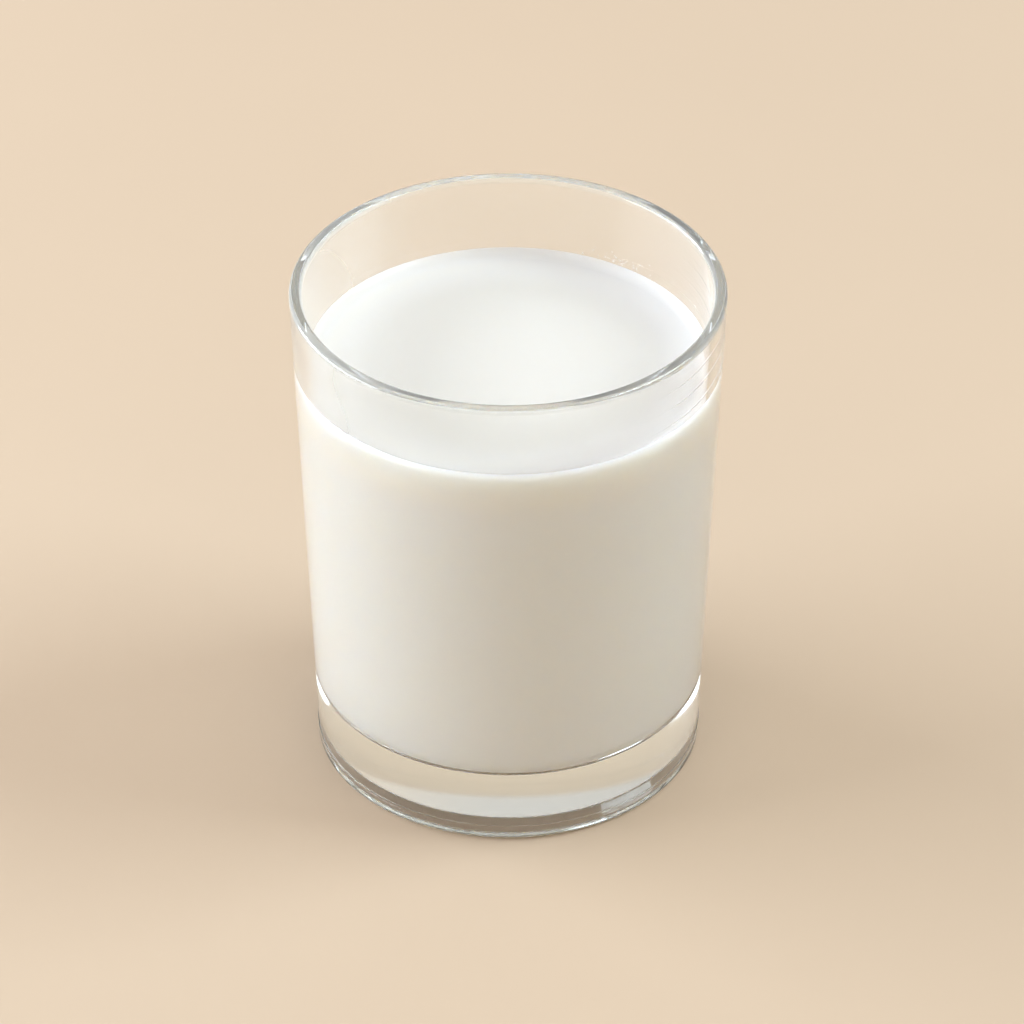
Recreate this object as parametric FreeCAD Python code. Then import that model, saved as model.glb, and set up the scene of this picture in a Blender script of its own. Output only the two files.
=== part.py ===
"""A straight-sided drinking glass filled with milk, in millimetres.

Both pieces are turned about +Z. The origin is the middle of the circle that
the glass stands on. The glass is one solid and the milk in it is another.
"""
import math
import os

import FreeCAD
import Part

# The outside of the glass
HEIGHT = 99.2
RIM_RADIUS = 40.0
BASE_RADIUS = 36.1
RIM_ROUNDING = 0.8

# The inside of the glass
WALL_AT_RIM = 2.4
WALL_AT_BASE = 2.8
FLOOR_HEIGHT = 13.4
INNER_CORNER_ROUNDING = 4.0

# The heel is a band that the bottom of the mould leaves, a little proud of the wall
HEEL_BAND_HEIGHT = 3.4
HEEL_BAND_STEP = 0.16
HEEL_BAND_ROUNDING = 0.12
HEEL_ROUNDING = 1.3

# The underside has a flat ring to stand on, and a shallow round recess inside it
FOOT_INNER_RADIUS = 32.0
FOOT_INNER_ROUNDING = 0.6
RECESS_RADIUS = 30.5
RECESS_HEIGHT = 2.9
RECESS_ROUNDING = 0.5

# The milk climbs the glass a little where it touches it
MILK_LEVEL = 83.2
MENISCUS_HEIGHT = 1.1
MENISCUS_WIDTH = 2.3

SHARP = 0.0
FULL_TURN = 360.0
CUBIC_MM_PER_ML = 1000
ORIGIN = FreeCAD.Vector(0, 0, 0)
UP = FreeCAD.Vector(0, 0, 1)


def at(radius, height):
    """A point of an outline, in the plane that is turned about the axis."""
    return FreeCAD.Vector(radius, 0, height)


def outer_radius(height):
    """The outside of the wall, which widens evenly from the base to the rim."""
    return BASE_RADIUS + (RIM_RADIUS - BASE_RADIUS) * height / HEIGHT


def inner_radius(height):
    """The inside of the wall, which is a little thicker towards the base."""
    thickness = WALL_AT_BASE + (WALL_AT_RIM - WALL_AT_BASE) * height / HEIGHT
    return outer_radius(height) - thickness


def straight(start, end):
    """One straight edge."""
    return Part.LineSegment(start, end).toShape()


def curved(start, middle, end):
    """One arc through three points."""
    return Part.Arc(start, middle, end).toShape()


def round_corner(before, point, after, radius):
    """The start, middle and end of the arc that rounds the corner at point."""
    back = (before - point).normalize()
    ahead = (after - point).normalize()
    half_angle = back.getAngle(ahead) / 2
    reach = radius / math.tan(half_angle)
    bisector = (back + ahead).normalize()
    to_arc = radius / math.sin(half_angle) - radius
    return point + back * reach, point + bisector * to_arc, point + ahead * reach


def rounded_path(corners):
    """The edges of an open path through (point, rounding) pairs."""
    edges = []
    reached = corners[0][0]
    for index in range(1, len(corners) - 1):
        point, rounding = corners[index]
        if rounding > SHARP:
            start, middle, end = round_corner(
                corners[index - 1][0], point, corners[index + 1][0], rounding
            )
            edges.append(straight(reached, start))
            edges.append(curved(start, middle, end))
            reached = end
        else:
            edges.append(straight(reached, point))
            reached = point
    edges.append(straight(reached, corners[-1][0]))
    return edges


def turned(edges):
    """The solid that a closed outline makes in one turn about the axis."""
    face = Part.Face(Part.Wire(edges))
    return face.revolve(ORIGIN, UP, FULL_TURN)


def tumbler():
    """The whole glass, from the recess under it, over the wall and the rim, to its floor."""
    band_radius = outer_radius(HEEL_BAND_HEIGHT) + HEEL_BAND_STEP
    corners = [
        (at(0, RECESS_HEIGHT), SHARP),
        (at(RECESS_RADIUS, RECESS_HEIGHT), RECESS_ROUNDING),
        (at(FOOT_INNER_RADIUS, 0), FOOT_INNER_ROUNDING),
        (at(outer_radius(0) + HEEL_BAND_STEP, 0), HEEL_ROUNDING),
        (at(band_radius, HEEL_BAND_HEIGHT), HEEL_BAND_ROUNDING),
        (at(outer_radius(HEEL_BAND_HEIGHT), HEEL_BAND_HEIGHT), SHARP),
        (at(outer_radius(HEIGHT), HEIGHT), RIM_ROUNDING),
        (at(inner_radius(HEIGHT), HEIGHT), RIM_ROUNDING),
        (at(inner_radius(FLOOR_HEIGHT), FLOOR_HEIGHT), INNER_CORNER_ROUNDING),
        (at(0, FLOOR_HEIGHT), SHARP),
    ]
    axis_edge = straight(at(0, FLOOR_HEIGHT), at(0, RECESS_HEIGHT))
    return turned(rounded_path(corners) + [axis_edge])


def meniscus(shore):
    """The curl of milk from its flat surface up to the shore, where it ends on the glass."""
    flat_edge = at(shore.x - MENISCUS_WIDTH, MILK_LEVEL)
    bend = (MENISCUS_WIDTH**2 + MENISCUS_HEIGHT**2) / (2 * MENISCUS_HEIGHT)
    half_turn = math.atan(MENISCUS_HEIGHT / MENISCUS_WIDTH)
    half_way = at(
        flat_edge.x + bend * math.sin(half_turn),
        MILK_LEVEL + bend * (1 - math.cos(half_turn)),
    )
    return flat_edge, curved(shore, half_way, flat_edge)


def milk():
    """The milk, which fills the glass from its floor to the milk level."""
    shore_height = MILK_LEVEL + MENISCUS_HEIGHT
    shore = at(inner_radius(shore_height), shore_height)
    flat_edge, curl = meniscus(shore)
    corners = [
        (at(0, FLOOR_HEIGHT), SHARP),
        (at(inner_radius(FLOOR_HEIGHT), FLOOR_HEIGHT), INNER_CORNER_ROUNDING),
        (shore, SHARP),
    ]
    surface = straight(flat_edge, at(0, MILK_LEVEL))
    axis_edge = straight(at(0, MILK_LEVEL), at(0, FLOOR_HEIGHT))
    return turned(rounded_path(corners) + [curl, surface, axis_edge])


def main():
    os.makedirs("parts", exist_ok=True)
    pieces = {"tumbler": tumbler(), "milk": milk()}
    for node, shape in pieces.items():
        shape.exportStep(f"parts/{node}.step")
        volume = round(shape.Volume / CUBIC_MM_PER_ML, 1)
        print(node, shape.ShapeType, "valid", shape.isValid(), "volume_ml", volume)


main()
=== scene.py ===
"""A glass of milk: a clear, straight-sided glass with a thick base, and the milk in it.

Everything is in metres, in the part's own frame: +Z up, the glass standing at z = 0.
"""
import math
import random

import bpy
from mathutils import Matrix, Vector


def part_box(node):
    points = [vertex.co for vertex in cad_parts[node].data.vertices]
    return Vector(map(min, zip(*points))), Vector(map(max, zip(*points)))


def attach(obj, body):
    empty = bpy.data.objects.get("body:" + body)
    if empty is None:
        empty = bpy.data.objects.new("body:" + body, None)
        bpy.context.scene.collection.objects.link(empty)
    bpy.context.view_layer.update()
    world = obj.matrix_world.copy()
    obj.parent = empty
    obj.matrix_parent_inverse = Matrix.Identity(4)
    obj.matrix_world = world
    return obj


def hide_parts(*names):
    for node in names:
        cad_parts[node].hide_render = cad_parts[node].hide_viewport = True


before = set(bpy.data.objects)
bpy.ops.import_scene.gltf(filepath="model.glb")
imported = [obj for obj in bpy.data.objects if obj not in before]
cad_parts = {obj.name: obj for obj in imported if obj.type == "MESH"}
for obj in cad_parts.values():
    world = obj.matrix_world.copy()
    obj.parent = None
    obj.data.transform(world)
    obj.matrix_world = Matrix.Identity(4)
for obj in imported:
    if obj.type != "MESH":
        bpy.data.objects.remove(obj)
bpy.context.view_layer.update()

MM = 0.001
BODY = "root"

# How fine the turned pieces are. A point is held this close to each end of a straight run
SEGMENTS = 256
ARC_STEP = math.radians(5)
LONGEST_RUN = 2.5 * MM
HOLD = 0.06 * MM
MOST_OF_RUN_HELD = 0.25

# Sizes read off the part
_, glass_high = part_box("tumbler")
milk_low, milk_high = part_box("milk")
HEIGHT = glass_high.z
FLOOR_HEIGHT = milk_low.z
SHORE_HEIGHT = milk_high.z
SHORE_RADIUS = milk_high.x

# The glass
RIM_RADIUS = 40.0 * MM
BASE_RADIUS = 36.1 * MM
RIM_ROUNDING = 0.8 * MM
WALL_AT_RIM = 2.4 * MM
WALL_AT_BASE = 2.8 * MM
INNER_CORNER_ROUNDING = 4.0 * MM
HEEL_BAND_HEIGHT = 3.4 * MM
HEEL_BAND_STEP = 0.16 * MM
HEEL_BAND_ROUNDING = 0.12 * MM
HEEL_ROUNDING = 1.3 * MM
FOOT_INNER_RADIUS = 32.0 * MM
FOOT_INNER_ROUNDING = 0.6 * MM
RECESS_RADIUS = 30.5 * MM
RECESS_HEIGHT = 2.9 * MM
RECESS_ROUNDING = 0.5 * MM

# The milk
MENISCUS_HEIGHT = 1.1 * MM
MENISCUS_WIDTH = 2.3 * MM
REACH = 0.2 * MM
SHARP = 0.0

# The tiny drops of milk on the wall
DROPS = 60
DROPS_SEED = 7
DROPS_TURN = 56
DROPS_SPREAD = 6
DROPS_LOWEST = 0.3
DROPS_RISE = 1.1
DROP_SIZES = (0.05, 0.12)
DROP_SUNK = 0.5
DROP_AROUND = 10
DROP_LEVELS = 5

# How the glass bends, tints and blurs light. Waves and ridges are heights in millimetres
GLASS_IOR = 1.52
CLEAR = (1, 1, 1, 1)
FAINT_GREEN = (0.985, 0.995, 0.99, 1)
RIM_TINT = (0.95, 0.985, 0.98, 1)
GLASS_DEPTH_COLOUR = (0.78, 0.88, 0.87, 1)
GLASS_DENSITY = 5.0
RECESS_BLUR = 0.07
RIM_BLUR = 0.05
WAVES = 0.016
RIDGES = 0.02
RIDGES_TO_THE_METRE = 82.0

# The film that milk left on the inside of the wall, as shares of a matt finish. The share at the
# left is painted sheen, on the side towards the window
FILM_AND_SHEEN_COLOUR = (0.9, 0.9, 0.88, 1)
FILM_EDGEWAYS = 0.16
PAINTED_SHEEN_AT_LEFT = 0.3
FILM_EVERYWHERE = 0.03
FILM_AT_RIM = 0.14

# The milk, and how far light of each colour goes in it before it turns
MILK_IOR = 1.35
# The top is given a darker white than the sides: painted shade under the strong light from above
SHADED_TOP_COLOURS = ((0.66, 0.643, 0.617, 1), (0.68, 0.663, 0.637, 1))
CREAM_RING = (0.7, 0.675, 0.605, 1)
CREAM_RING_SHARE = 0.6
# Painted highlight on the top of the milk, towards the glass
PAINTED_SHORE_HIGHLIGHT = (0.85, 0.845, 0.86, 1)
SIDE_COLOURS = ((0.925, 0.91, 0.86, 1), (0.94, 0.925, 0.88, 1))
# Painted light: a bluish tint near the top of the milk's sides
PAINTED_BLUE_LIGHT_NEAR_TOP = (0.82, 0.845, 0.9, 1)
# Painted light: near pure white at the bottom of the milk
PAINTED_LIGHT_AT_BOTTOM = (0.995, 0.995, 0.99, 1)
DEPTHS_ON_TOP = (0.5 * MM, 0.45 * MM, 0.35 * MM)
DEPTHS_AT_SIDES = (10.0 * MM, 8.0 * MM, 4.5 * MM)

# The room. Azimuth 0 is the camera's side and 90 is the right
STAGE_COLOURS = ((0.51, 0.4, 0.3, 1), (0.54, 0.425, 0.32, 1))
STAGE_HALF = 6.0
STAGE_HEIGHT = -0.05 * MM
LIGHT_ALL_ROUND = (0.3, 0.32, 0.32, 1.0)
SIDES_OF_ROOM = (
    (90, 10, (0.3, 0.18, 0.06)),
    (180, 30, (0.42, 0.37, 0.33)),
    (0, 10, (0.74, 0.63, 0.5)),
)
LIGHTS_AWAY = 1.2

# The camera
CAMERA_ELEVATION = math.radians(35.1)
CAMERA_AIM = Vector((0.69 * MM, 0.0, 49.35 * MM))
CAMERA_AWAY = 1.1206
LENS = 210.94
SENSOR = 36.0
NEAREST = 0.01
FARTHEST = 100.0


def outer_radius(height):
    """The outside of the wall, which widens evenly from the base to the rim."""
    return BASE_RADIUS + (RIM_RADIUS - BASE_RADIUS) * height / HEIGHT


def inner_radius(height):
    """The inside of the wall, which is a little thicker towards the base."""
    thickness = WALL_AT_BASE + (WALL_AT_RIM - WALL_AT_BASE) * height / HEIGHT
    return outer_radius(height) - thickness


# ---------------------------------------------------------------- shader maths


class Value:
    """A socket of a finish. Sums on it add Math nodes."""

    def __init__(self, finish, socket):
        self.finish = finish
        self.socket = socket

    def maths(self, operation, first, second):
        return self.finish.node("ShaderNodeMath", {"operation": operation}, {0: first, 1: second})

    def __add__(self, other):
        return self.maths("ADD", self, other)

    def __sub__(self, other):
        return self.maths("SUBTRACT", self, other)

    def __rsub__(self, other):
        return self.maths("SUBTRACT", other, self)

    def __mul__(self, other):
        return self.maths("MULTIPLY", self, other)

    __radd__ = __add__
    __rmul__ = __mul__


class Finish:
    """One tree of nodes: a material's, or the room's."""

    def __init__(self, owner):
        owner.use_nodes = True
        self.owner = owner
        self.tree = owner.node_tree
        self.tree.nodes.clear()

    def node(self, kind, settings=None, sockets=None, out=0):
        """Adds a node, sets its settings, then its sockets, and returns one of its outputs."""
        made = self.tree.nodes.new(kind)
        for name, value in (settings or {}).items():
            setattr(made, name, value)
        for key, value in (sockets or {}).items():
            if isinstance(value, Value):
                self.tree.links.new(value.socket, made.inputs[key])
            else:
                made.inputs[key].default_value = value
        return Value(self, made.outputs[out]) if made.outputs else None

    def place(self):
        """Where a point of the piece is, in metres."""
        return self.node("ShaderNodeTexCoord", out="Object")

    def noise(self, place, scale, detail=2.0):
        """Soft clouds from 0 to 1, with so many to the metre."""
        return self.node(
            "ShaderNodeTexNoise", None, {"Vector": place, "Scale": scale, "Detail": detail}
        )

    def between(self, value, start, end, low=0.0, high=1.0):
        """Low where value is at start, high where it is at end, with a smooth change between."""
        return self.node(
            "ShaderNodeMapRange",
            {"interpolation_type": "SMOOTHSTEP"},
            {"Value": value, "From Min": start, "From Max": end, "To Min": low, "To Max": high},
        )

    def blend(self, share, first, second):
        """The first colour where share is 0 and the second where it is 1."""
        return self.node(
            "ShaderNodeMix", {"data_type": "RGBA"}, {"Factor": share, 6: first, 7: second}, out=2
        )

    def out_from_axis(self, place):
        """How far a point is from the axis of the glass."""
        flat = self.node(
            "ShaderNodeVectorMath", {"operation": "MULTIPLY"}, {0: place, 1: (1.0, 1.0, 0.0)}
        )
        return self.node("ShaderNodeVectorMath", {"operation": "LENGTH"}, {0: flat}, out="Value")

    def height(self, place):
        """How high a point is above what the glass stands on."""
        return self.node("ShaderNodeSeparateXYZ", None, {"Vector": place}, out="Z")

    def across(self, place):
        """How far a point is to the right of the axis of the glass."""
        return self.node("ShaderNodeSeparateXYZ", None, {"Vector": place}, out="X")

    def end(self, **ends):
        """Joins the last shaders to the material, and returns it."""
        self.node("ShaderNodeOutputMaterial", None, ends)
        return self.owner


# ---------------------------------------------------------------- finishes


def clear_glass():
    """Polished soda-lime glass, which is faintly green where it is looked through edgeways."""
    finish = Finish(bpy.data.materials.new("clear_glass"))
    place = finish.place()
    height = finish.height(place)
    out = finish.out_from_axis(place)
    inner = height * ((inner_radius(HEIGHT) - inner_radius(0)) / HEIGHT) + inner_radius(0)
    inside = finish.between(out - inner, 0.3 * MM, 0.6 * MM, 1.0, 0.0)
    above_milk = inside * finish.between(height, SHORE_HEIGHT - 0.3 * MM, SHORE_HEIGHT + 0.2 * MM)
    rings = finish.node(
        "ShaderNodeTexWave",
        {"bands_direction": "Z"},
        {
            "Vector": place,
            "Scale": RIDGES_TO_THE_METRE,
            "Distortion": 1.2,
            "Detail": 1.0,
            "Detail Scale": 0.4,
        },
    )
    across = finish.across(place)
    right = finish.between(across, 16 * MM, 32 * MM)
    ridges = finish.between(rings, 0.93, 1.0) * above_milk * right
    waves = finish.noise(place, 26.0, 1.0) * WAVES + ridges * RIDGES
    skin = finish.node(
        "ShaderNodeBump", None, {"Strength": 1.0, "Distance": 1.0 * MM, "Height": waves}
    )
    under = finish.between(height, RECESS_HEIGHT + 0.1 * MM, RECESS_HEIGHT + 0.2 * MM, 1.0, 0.0)
    in_recess = under * finish.between(out, RECESS_RADIUS - 1 * MM, RECESS_RADIUS, 1.0, 0.0)
    tint = finish.blend(finish.noise(place, 12.0), FAINT_GREEN, CLEAR)
    at_rim = finish.between(height, HEIGHT - 1.3 * MM, HEIGHT - 0.6 * MM)
    tint = finish.blend(at_rim, tint, RIM_TINT)
    body = finish.node(
        "ShaderNodeBsdfPrincipled",
        None,
        {
            "Base Color": tint,
            "Roughness": in_recess * RECESS_BLUR + at_rim * RIM_BLUR,
            "IOR": GLASS_IOR,
            "Transmission Weight": 1.0,
            "Normal": skin,
        },
    )
    glance = finish.node("ShaderNodeLayerWeight", None, {"Blend": 0.5}, out="Facing")
    streaks = finish.between(finish.noise(place, 25.0, 1.0), 0.3, 0.7, 0.6, 1.0)
    # Painted sheen: far more of the matt finish on the left, the side towards the window
    left = finish.between(across, -35 * MM, -15 * MM, 1.0, 0.0)
    film_and_sheen = glance * FILM_EDGEWAYS + left * PAINTED_SHEEN_AT_LEFT + FILM_EVERYWHERE
    film_and_sheen = above_milk * streaks * film_and_sheen + at_rim * FILM_AT_RIM
    residue_and_sheen = finish.node(
        "ShaderNodeBsdfPrincipled", None, {"Base Color": FILM_AND_SHEEN_COLOUR, "Roughness": 0.5}
    )
    body = finish.node("ShaderNodeMixShader", None, {0: film_and_sheen, 1: body, 2: residue_and_sheen})
    depth = finish.node(
        "ShaderNodeVolumeAbsorption",
        None,
        {"Color": GLASS_DEPTH_COLOUR, "Density": GLASS_DENSITY},
    )
    return finish.end(Surface=body, Volume=depth)


def milk_body(finish, colour, roughness, skin, shine, depths):
    """Milk as light meets it: it goes in a little way, and comes out spread."""
    return finish.node(
        "ShaderNodeBsdfPrincipled",
        {"subsurface_method": "BURLEY"},
        {
            "Base Color": colour,
            "Roughness": roughness,
            "IOR": MILK_IOR,
            "Specular IOR Level": shine,
            "Subsurface Weight": 1.0,
            "Subsurface Radius": depths,
            "Subsurface Scale": 1.0,
            "Normal": skin,
        },
    )


def milk_surface():
    """The top of the milk, which rises in a meniscus at the glass, with a faint cream ring in it.
    Its white is painted darker than the sides' as shade under the light from above, and a painted
    highlight makes it whiter towards the glass, most of all to the right.
    """
    finish = Finish(bpy.data.materials.new("milk_surface"))
    place = finish.place()
    out = finish.out_from_axis(place)
    clouds = finish.noise(place, 45.0, 3.0)
    # Painted shade: this white is darker than the sides' white, for the light from above
    white = finish.blend(clouds, *SHADED_TOP_COLOURS)
    ring = finish.between(out, SHORE_RADIUS - 7 * MM, SHORE_RADIUS - 4 * MM)
    ring = ring * finish.between(out, SHORE_RADIUS - 4 * MM, SHORE_RADIUS - 2.2 * MM, 1.0, 0.0)
    colour = finish.blend(ring * CREAM_RING_SHARE, white, CREAM_RING)
    # Painted highlight: the top turns whiter over the last 13 mm to the glass, more so to the right
    shore_band = finish.between(out, SHORE_RADIUS - 13 * MM, SHORE_RADIUS - 1 * MM)
    shore_band = shore_band * finish.between(finish.across(place), -25 * MM, 20 * MM, 0.5, 1.0)
    colour = finish.blend(shore_band, colour, PAINTED_SHORE_HIGHLIGHT)
    skin = finish.node(
        "ShaderNodeBump", None, {"Strength": 0.05, "Distance": 0.3 * MM, "Height": clouds}
    )
    roughness = finish.between(clouds, 0.3, 0.7, 0.08, 0.14)
    return finish.end(Surface=milk_body(finish, colour, roughness, skin, 0.5, DEPTHS_ON_TOP))


def milk_in_glass():
    """The sides and bottom of the milk, which are wet against the glass, with painted bluish light
    near the top of the sides and painted light at the bottom.
    """
    finish = Finish(bpy.data.materials.new("milk_in_glass"))
    place = finish.place()
    clouds = finish.noise(place, 30.0, 3.0)
    height = finish.height(place)
    cream = finish.blend(clouds, *SIDE_COLOURS)
    # Painted light: the sides turn bluish over the top 9 mm, below the milk's surface
    near_top = finish.between(height, SHORE_HEIGHT - 9 * MM, SHORE_HEIGHT - 1 * MM)
    colour = finish.blend(near_top * near_top, cream, PAINTED_BLUE_LIGHT_NEAR_TOP)
    # Painted light: the bottom of the milk and its lowest 1.5 mm are near pure white, for the light
    # the thick base brings to them
    near_floor = finish.between(height, FLOOR_HEIGHT, FLOOR_HEIGHT + 1.5 * MM, 1.0, 0.0)
    colour = finish.blend(near_floor, colour, PAINTED_LIGHT_AT_BOTTOM)
    skin = finish.node(
        "ShaderNodeBump", None, {"Strength": 0.02, "Distance": 0.2 * MM, "Height": clouds}
    )
    body = milk_body(finish, colour, 0.4, skin, 0.0, DEPTHS_AT_SIDES)
    mirror = finish.node("ShaderNodeBsdfGlossy", None, {"Color": CLEAR, "Roughness": 0.02})
    glance = finish.node("ShaderNodeFresnel", None, {"IOR": MILK_IOR / GLASS_IOR})
    return finish.end(
        Surface=finish.node("ShaderNodeMixShader", None, {0: glance, 1: body, 2: mirror})
    )


def pale_floor():
    """Plain, matt and warm."""
    finish = Finish(bpy.data.materials.new("pale_floor"))
    place = finish.place()
    clouds = finish.noise(place, 8.0, 4.0)
    colour = finish.blend(clouds, *STAGE_COLOURS)
    return finish.end(
        Surface=finish.node(
            "ShaderNodeBsdfPrincipled",
            None,
            {"Base Color": colour, "Roughness": 0.6, "Specular IOR Level": 0.2},
        )
    )


# ---------------------------------------------------------------- shapes


def run(start, end):
    """Points along a straight run, after its start. One close to each end keeps the run flat."""
    length = (end - start).length
    hold = min(HOLD / length, MOST_OF_RUN_HELD)
    near_start = start.lerp(end, hold)
    near_end = start.lerp(end, 1 - hold)
    count = max(1, math.ceil(length / LONGEST_RUN))
    between = [near_start.lerp(near_end, step / count) for step in range(1, count + 1)]
    return [near_start] + between + [end]


def turn_between(centre, start, end):
    """Points along the short arc from start to end about centre, after its start."""
    first = start - centre
    angle = first.angle_signed(end - centre)
    count = max(2, math.ceil(abs(angle) / ARC_STEP))
    points = []
    for step in range(1, count + 1):
        part = -angle * step / count
        along = Vector(
            (
                first.x * math.cos(part) - first.y * math.sin(part),
                first.x * math.sin(part) + first.y * math.cos(part),
            )
        )
        points.append(centre + along)
    return points


def rounded_outline(corners):
    """Points of an open outline through (radius, height, rounding) corners."""
    points = [Vector(corners[0][:2])]
    for index in range(1, len(corners) - 1):
        corner = Vector(corners[index][:2])
        rounding = corners[index][2]
        if rounding > SHARP:
            back = (Vector(corners[index - 1][:2]) - corner).normalized()
            ahead = (Vector(corners[index + 1][:2]) - corner).normalized()
            half = back.angle(ahead) / 2
            reach = rounding / math.tan(half)
            centre = corner + (back + ahead).normalized() * (rounding / math.sin(half))
            points += run(points[-1], corner + back * reach)
            points += turn_between(centre, corner + back * reach, corner + ahead * reach)
        else:
            points += run(points[-1], corner)
    points += run(points[-1], Vector(corners[-1][:2]))
    return points


def arc_through(start, end, rise, width):
    """Points of the arc that leaves start level and has risen so far at end."""
    bend = (width**2 + rise**2) / (2 * rise)
    centre = Vector((start.x, start.y + bend))
    return turn_between(centre, start, end)


def turned(name, outline, finishes, finish_at=None):
    """A closed piece, made by one turn of an outline that begins and ends on the axis."""
    faces = []
    indices = []
    bottom, *rings, top = outline
    vertices = [(0.0, 0.0, bottom.y)]
    for ring in rings:
        for segment in range(SEGMENTS):
            turn = math.tau * segment / SEGMENTS
            vertices.append((ring.x * math.cos(turn), ring.x * math.sin(turn), ring.y))
    vertices.append((0.0, 0.0, top.y))
    last = len(vertices) - 1

    def point(ring, segment):
        return 1 + ring * SEGMENTS + segment % SEGMENTS

    for segment in range(SEGMENTS):
        faces.append((0, point(0, segment + 1), point(0, segment)))
        indices.append(0)
    for ring in range(len(rings) - 1):
        for segment in range(SEGMENTS):
            faces.append(
                (
                    point(ring, segment),
                    point(ring, segment + 1),
                    point(ring + 1, segment + 1),
                    point(ring + 1, segment),
                )
            )
            indices.append(finish_at(rings[ring], rings[ring + 1]) if finish_at else 0)
    for segment in range(SEGMENTS):
        end = len(rings) - 1
        faces.append((last, point(end, segment), point(end, segment + 1)))
        indices.append(finish_at(rings[-1], top) if finish_at else 0)
    mesh = bpy.data.meshes.new(name)
    mesh.from_pydata(vertices, [], faces)
    for finish in finishes:
        mesh.materials.append(finish)
    mesh.polygons.foreach_set("material_index", indices)
    mesh.polygons.foreach_set("use_smooth", [True] * len(faces))
    mesh.validate()
    piece = bpy.data.objects.new(name, mesh)
    bpy.context.scene.collection.objects.link(piece)
    return piece


def build_glass():
    """The glass, from the middle of its underside round the wall to the middle of its floor."""
    band_radius = outer_radius(HEEL_BAND_HEIGHT) + HEEL_BAND_STEP
    corners = [
        (0, RECESS_HEIGHT, SHARP),
        (RECESS_RADIUS, RECESS_HEIGHT, RECESS_ROUNDING),
        (FOOT_INNER_RADIUS, 0, FOOT_INNER_ROUNDING),
        (outer_radius(0) + HEEL_BAND_STEP, 0, HEEL_ROUNDING),
        (band_radius, HEEL_BAND_HEIGHT, HEEL_BAND_ROUNDING),
        (outer_radius(HEEL_BAND_HEIGHT), HEEL_BAND_HEIGHT, SHARP),
        (outer_radius(HEIGHT), HEIGHT, RIM_ROUNDING),
        (inner_radius(HEIGHT), HEIGHT, RIM_ROUNDING),
        (inner_radius(FLOOR_HEIGHT), FLOOR_HEIGHT, INNER_CORNER_ROUNDING),
        (0, FLOOR_HEIGHT, SHARP),
    ]
    piece = turned("glass", rounded_outline(corners), [clear_glass()])
    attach(piece, BODY)
    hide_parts("tumbler")


def build_milk():
    """The milk, which reaches a hair into the glass all round so that no air shows between."""
    touching = 0.01 * MM
    level = SHORE_HEIGHT - MENISCUS_HEIGHT
    shore = Vector((inner_radius(SHORE_HEIGHT), SHORE_HEIGHT))
    flat_edge = Vector((shore.x - MENISCUS_WIDTH, level))
    bottom = FLOOR_HEIGHT - REACH
    corners = [
        (0, bottom, SHARP),
        (inner_radius(bottom) + REACH, bottom, INNER_CORNER_ROUNDING + REACH),
        (shore.x + REACH, shore.y, SHARP),
        (shore.x, shore.y, SHARP),
    ]
    sides = rounded_outline(corners)
    shore_band = [flat_edge] + arc_through(flat_edge, shore, MENISCUS_HEIGHT, MENISCUS_WIDTH)
    surface = run(flat_edge, Vector((0, level)))
    outline = sides + shore_band[-2::-1] + surface

    def finish_at(first, second):
        """1, the second finish, on top of the milk, and 0 at its sides and bottom."""
        high = min(first.y, second.y) >= level - touching
        clear_of_wall = max(first.x, second.x) <= shore.x + touching
        return int(high and clear_of_wall)

    piece = turned("milk_fill", outline, [milk_in_glass(), milk_surface()], finish_at)
    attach(piece, BODY)
    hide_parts("milk")


def ball(centre, radius, vertices, faces):
    """Adds one small ball to the lists."""
    first = len(vertices)
    vertices.append(tuple(centre + Vector((0, 0, -radius))))
    for level in range(1, DROP_LEVELS):
        lift = math.pi * level / DROP_LEVELS - math.pi / 2
        for step in range(DROP_AROUND):
            turn = math.tau * step / DROP_AROUND
            way = Vector(
                (math.cos(turn) * math.cos(lift), math.sin(turn) * math.cos(lift), math.sin(lift))
            )
            vertices.append(tuple(centre + way * radius))
    vertices.append(tuple(centre + Vector((0, 0, radius))))
    last = len(vertices) - 1
    for step in range(DROP_AROUND):
        after = (step + 1) % DROP_AROUND
        faces.append((first, first + 1 + after, first + 1 + step))
        for level in range(DROP_LEVELS - 2):
            low = first + 1 + level * DROP_AROUND
            high = low + DROP_AROUND
            faces.append((low + step, low + after, high + after, high + step))
        top = last - DROP_AROUND
        faces.append((last, top + step, top + after))


def build_froth():
    """Tiny drops of milk that cling to the far wall just above the milk, to the right."""
    chance = random.Random(DROPS_SEED)
    vertices = []
    faces = []
    for _ in range(DROPS):
        turn = math.radians(chance.gauss(DROPS_TURN, DROPS_SPREAD))
        height = SHORE_HEIGHT + DROPS_LOWEST * MM + abs(chance.gauss(0, DROPS_RISE)) * MM
        radius = chance.uniform(*DROP_SIZES) * MM
        out = inner_radius(height) - DROP_SUNK * radius
        centre = Vector((out * math.cos(turn), out * math.sin(turn), height))
        ball(centre, radius, vertices, faces)
    mesh = bpy.data.meshes.new("froth")
    mesh.from_pydata(vertices, [], faces)
    mesh.materials.append(milk_surface())
    mesh.polygons.foreach_set("use_smooth", [True] * len(faces))
    piece = bpy.data.objects.new("froth", mesh)
    bpy.context.scene.collection.objects.link(piece)
    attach(piece, BODY)


# ---------------------------------------------------------------- the room


def build_floor():
    """The plain floor that the glass stands on."""
    mesh = bpy.data.meshes.new("floor")
    corners = [(-1, -1), (1, -1), (1, 1), (-1, 1)]
    vertices = [(x * STAGE_HALF, y * STAGE_HALF, STAGE_HEIGHT) for x, y in corners]
    mesh.from_pydata(vertices, [], [(0, 1, 2, 3)])
    mesh.materials.append(pale_floor())
    floor = bpy.data.objects.new("floor", mesh)
    bpy.context.scene.collection.objects.link(floor)


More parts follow.
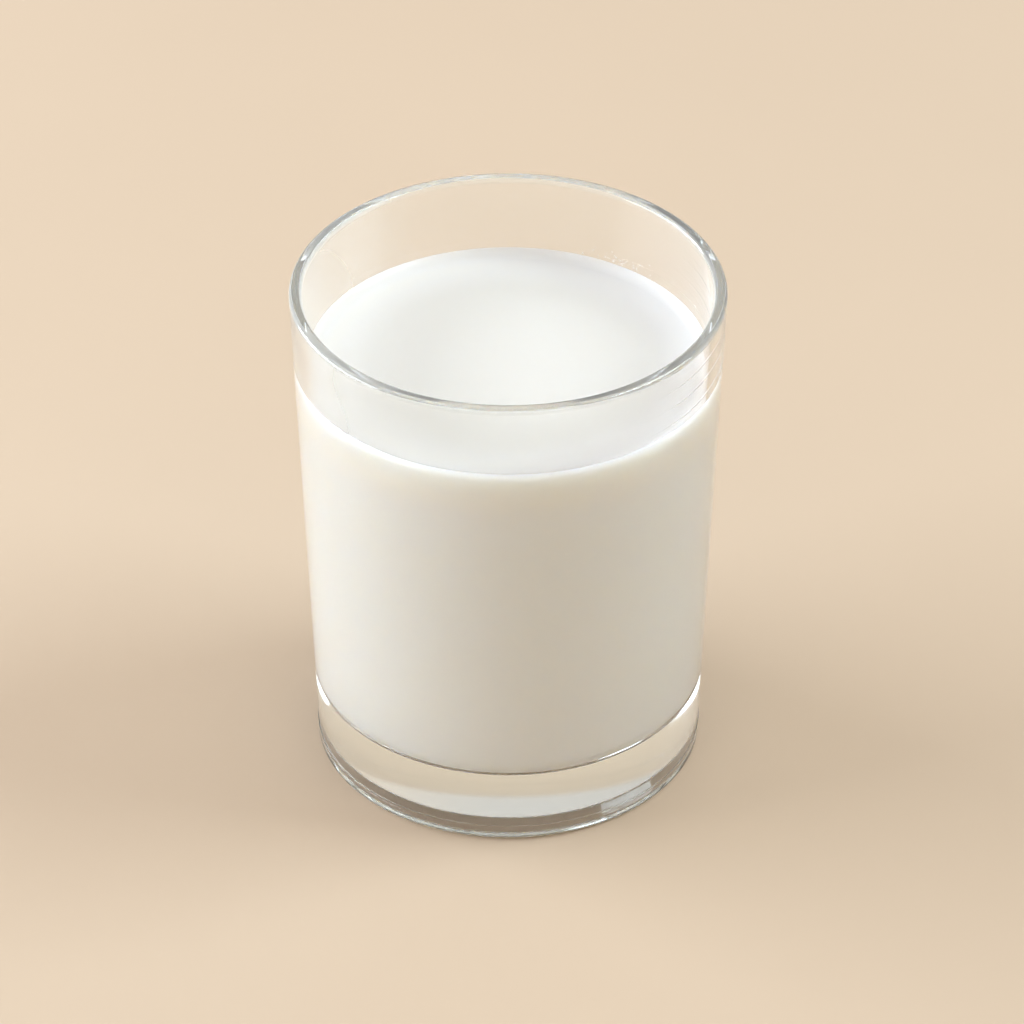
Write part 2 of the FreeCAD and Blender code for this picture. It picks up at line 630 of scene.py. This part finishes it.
def build_camera():
    """Looks down on the glass from the front, through a long lens."""
    back = Vector((0.0, -math.cos(CAMERA_ELEVATION), math.sin(CAMERA_ELEVATION)))
    lens = bpy.data.cameras.new("camera")
    lens.lens = LENS
    lens.sensor_width = SENSOR
    lens.clip_start = NEAREST
    lens.clip_end = FARTHEST
    camera = bpy.data.objects.new("camera", lens)
    camera.location = CAMERA_AIM + back * CAMERA_AWAY
    camera.rotation_euler = (math.pi / 2 - CAMERA_ELEVATION, 0.0, 0.0)
    bpy.context.scene.collection.objects.link(camera)
    bpy.context.scene.camera = camera


def facing(azimuth, elevation):
    """The way from the glass to something."""
    turn = math.radians(azimuth)
    lift = math.radians(elevation)
    return Vector(
        (math.sin(turn) * math.cos(lift), -math.cos(turn) * math.cos(lift), math.sin(lift))
    )


def soft_box(name, azimuth, elevation, size, power, colour):
    """A soft area light that faces the glass."""
    way = facing(azimuth, elevation)
    light = bpy.data.lights.new(name, "AREA")
    light.shape = "RECTANGLE"
    light.size, light.size_y = size
    light.energy = power
    light.color = colour
    lamp = bpy.data.objects.new(name, light)
    lamp.location = way * LIGHTS_AWAY + Vector((0, 0, HEIGHT / 2))
    lamp.rotation_mode = "QUATERNION"
    lamp.rotation_quaternion = way.to_track_quat("Z", "Y")
    bpy.context.scene.collection.objects.link(lamp)


def build_room():
    """A soft room with a large window to the left, a smaller one to the right, and warm walls."""
    world = bpy.data.worlds.new("room")
    bpy.context.scene.world = world
    finish = Finish(world)
    way = finish.node("ShaderNodeTexCoord", out="Generated")
    light = finish.node("ShaderNodeBackground", None, {"Color": LIGHT_ALL_ROUND})
    for azimuth, elevation, colour in SIDES_OF_ROOM:
        along = finish.node(
            "ShaderNodeVectorMath",
            {"operation": "DOT_PRODUCT"},
            {0: way, 1: facing(azimuth, elevation)},
            out="Value",
        )
        share = finish.between(along, 0.1, 1.0)
        glow = finish.node(
            "ShaderNodeBackground", None, {"Color": (*colour, 1.0), "Strength": share}
        )
        light = finish.node("ShaderNodeAddShader", None, {0: light, 1: glow})
    finish.node("ShaderNodeOutputWorld", None, {"Surface": light})
    soft_box(
        "window",
        azimuth=-97,
        elevation=18,
        size=(1.3, 0.8),
        power=28.5,
        colour=(0.86, 0.93, 1.0),
    )
    soft_box(
        "far_window",
        azimuth=92,
        elevation=45,
        size=(0.6, 0.7),
        power=11.5,
        colour=(0.79, 0.92, 1.0),
    )


def set_up_picture():
    """Plain colours, and enough bounces for light to find its way through the thick base."""
    scene = bpy.context.scene
    scene.view_settings.view_transform = "Standard"
    scene.view_settings.look = "None"
    scene.cycles.max_bounces = 18
    scene.cycles.transmission_bounces = 16
    scene.cycles.glossy_bounces = 12
    scene.cycles.diffuse_bounces = 5
    scene.cycles.use_denoising = True


build_camera()
build_glass()
build_milk()
build_froth()
build_floor()
build_room()
set_up_picture()
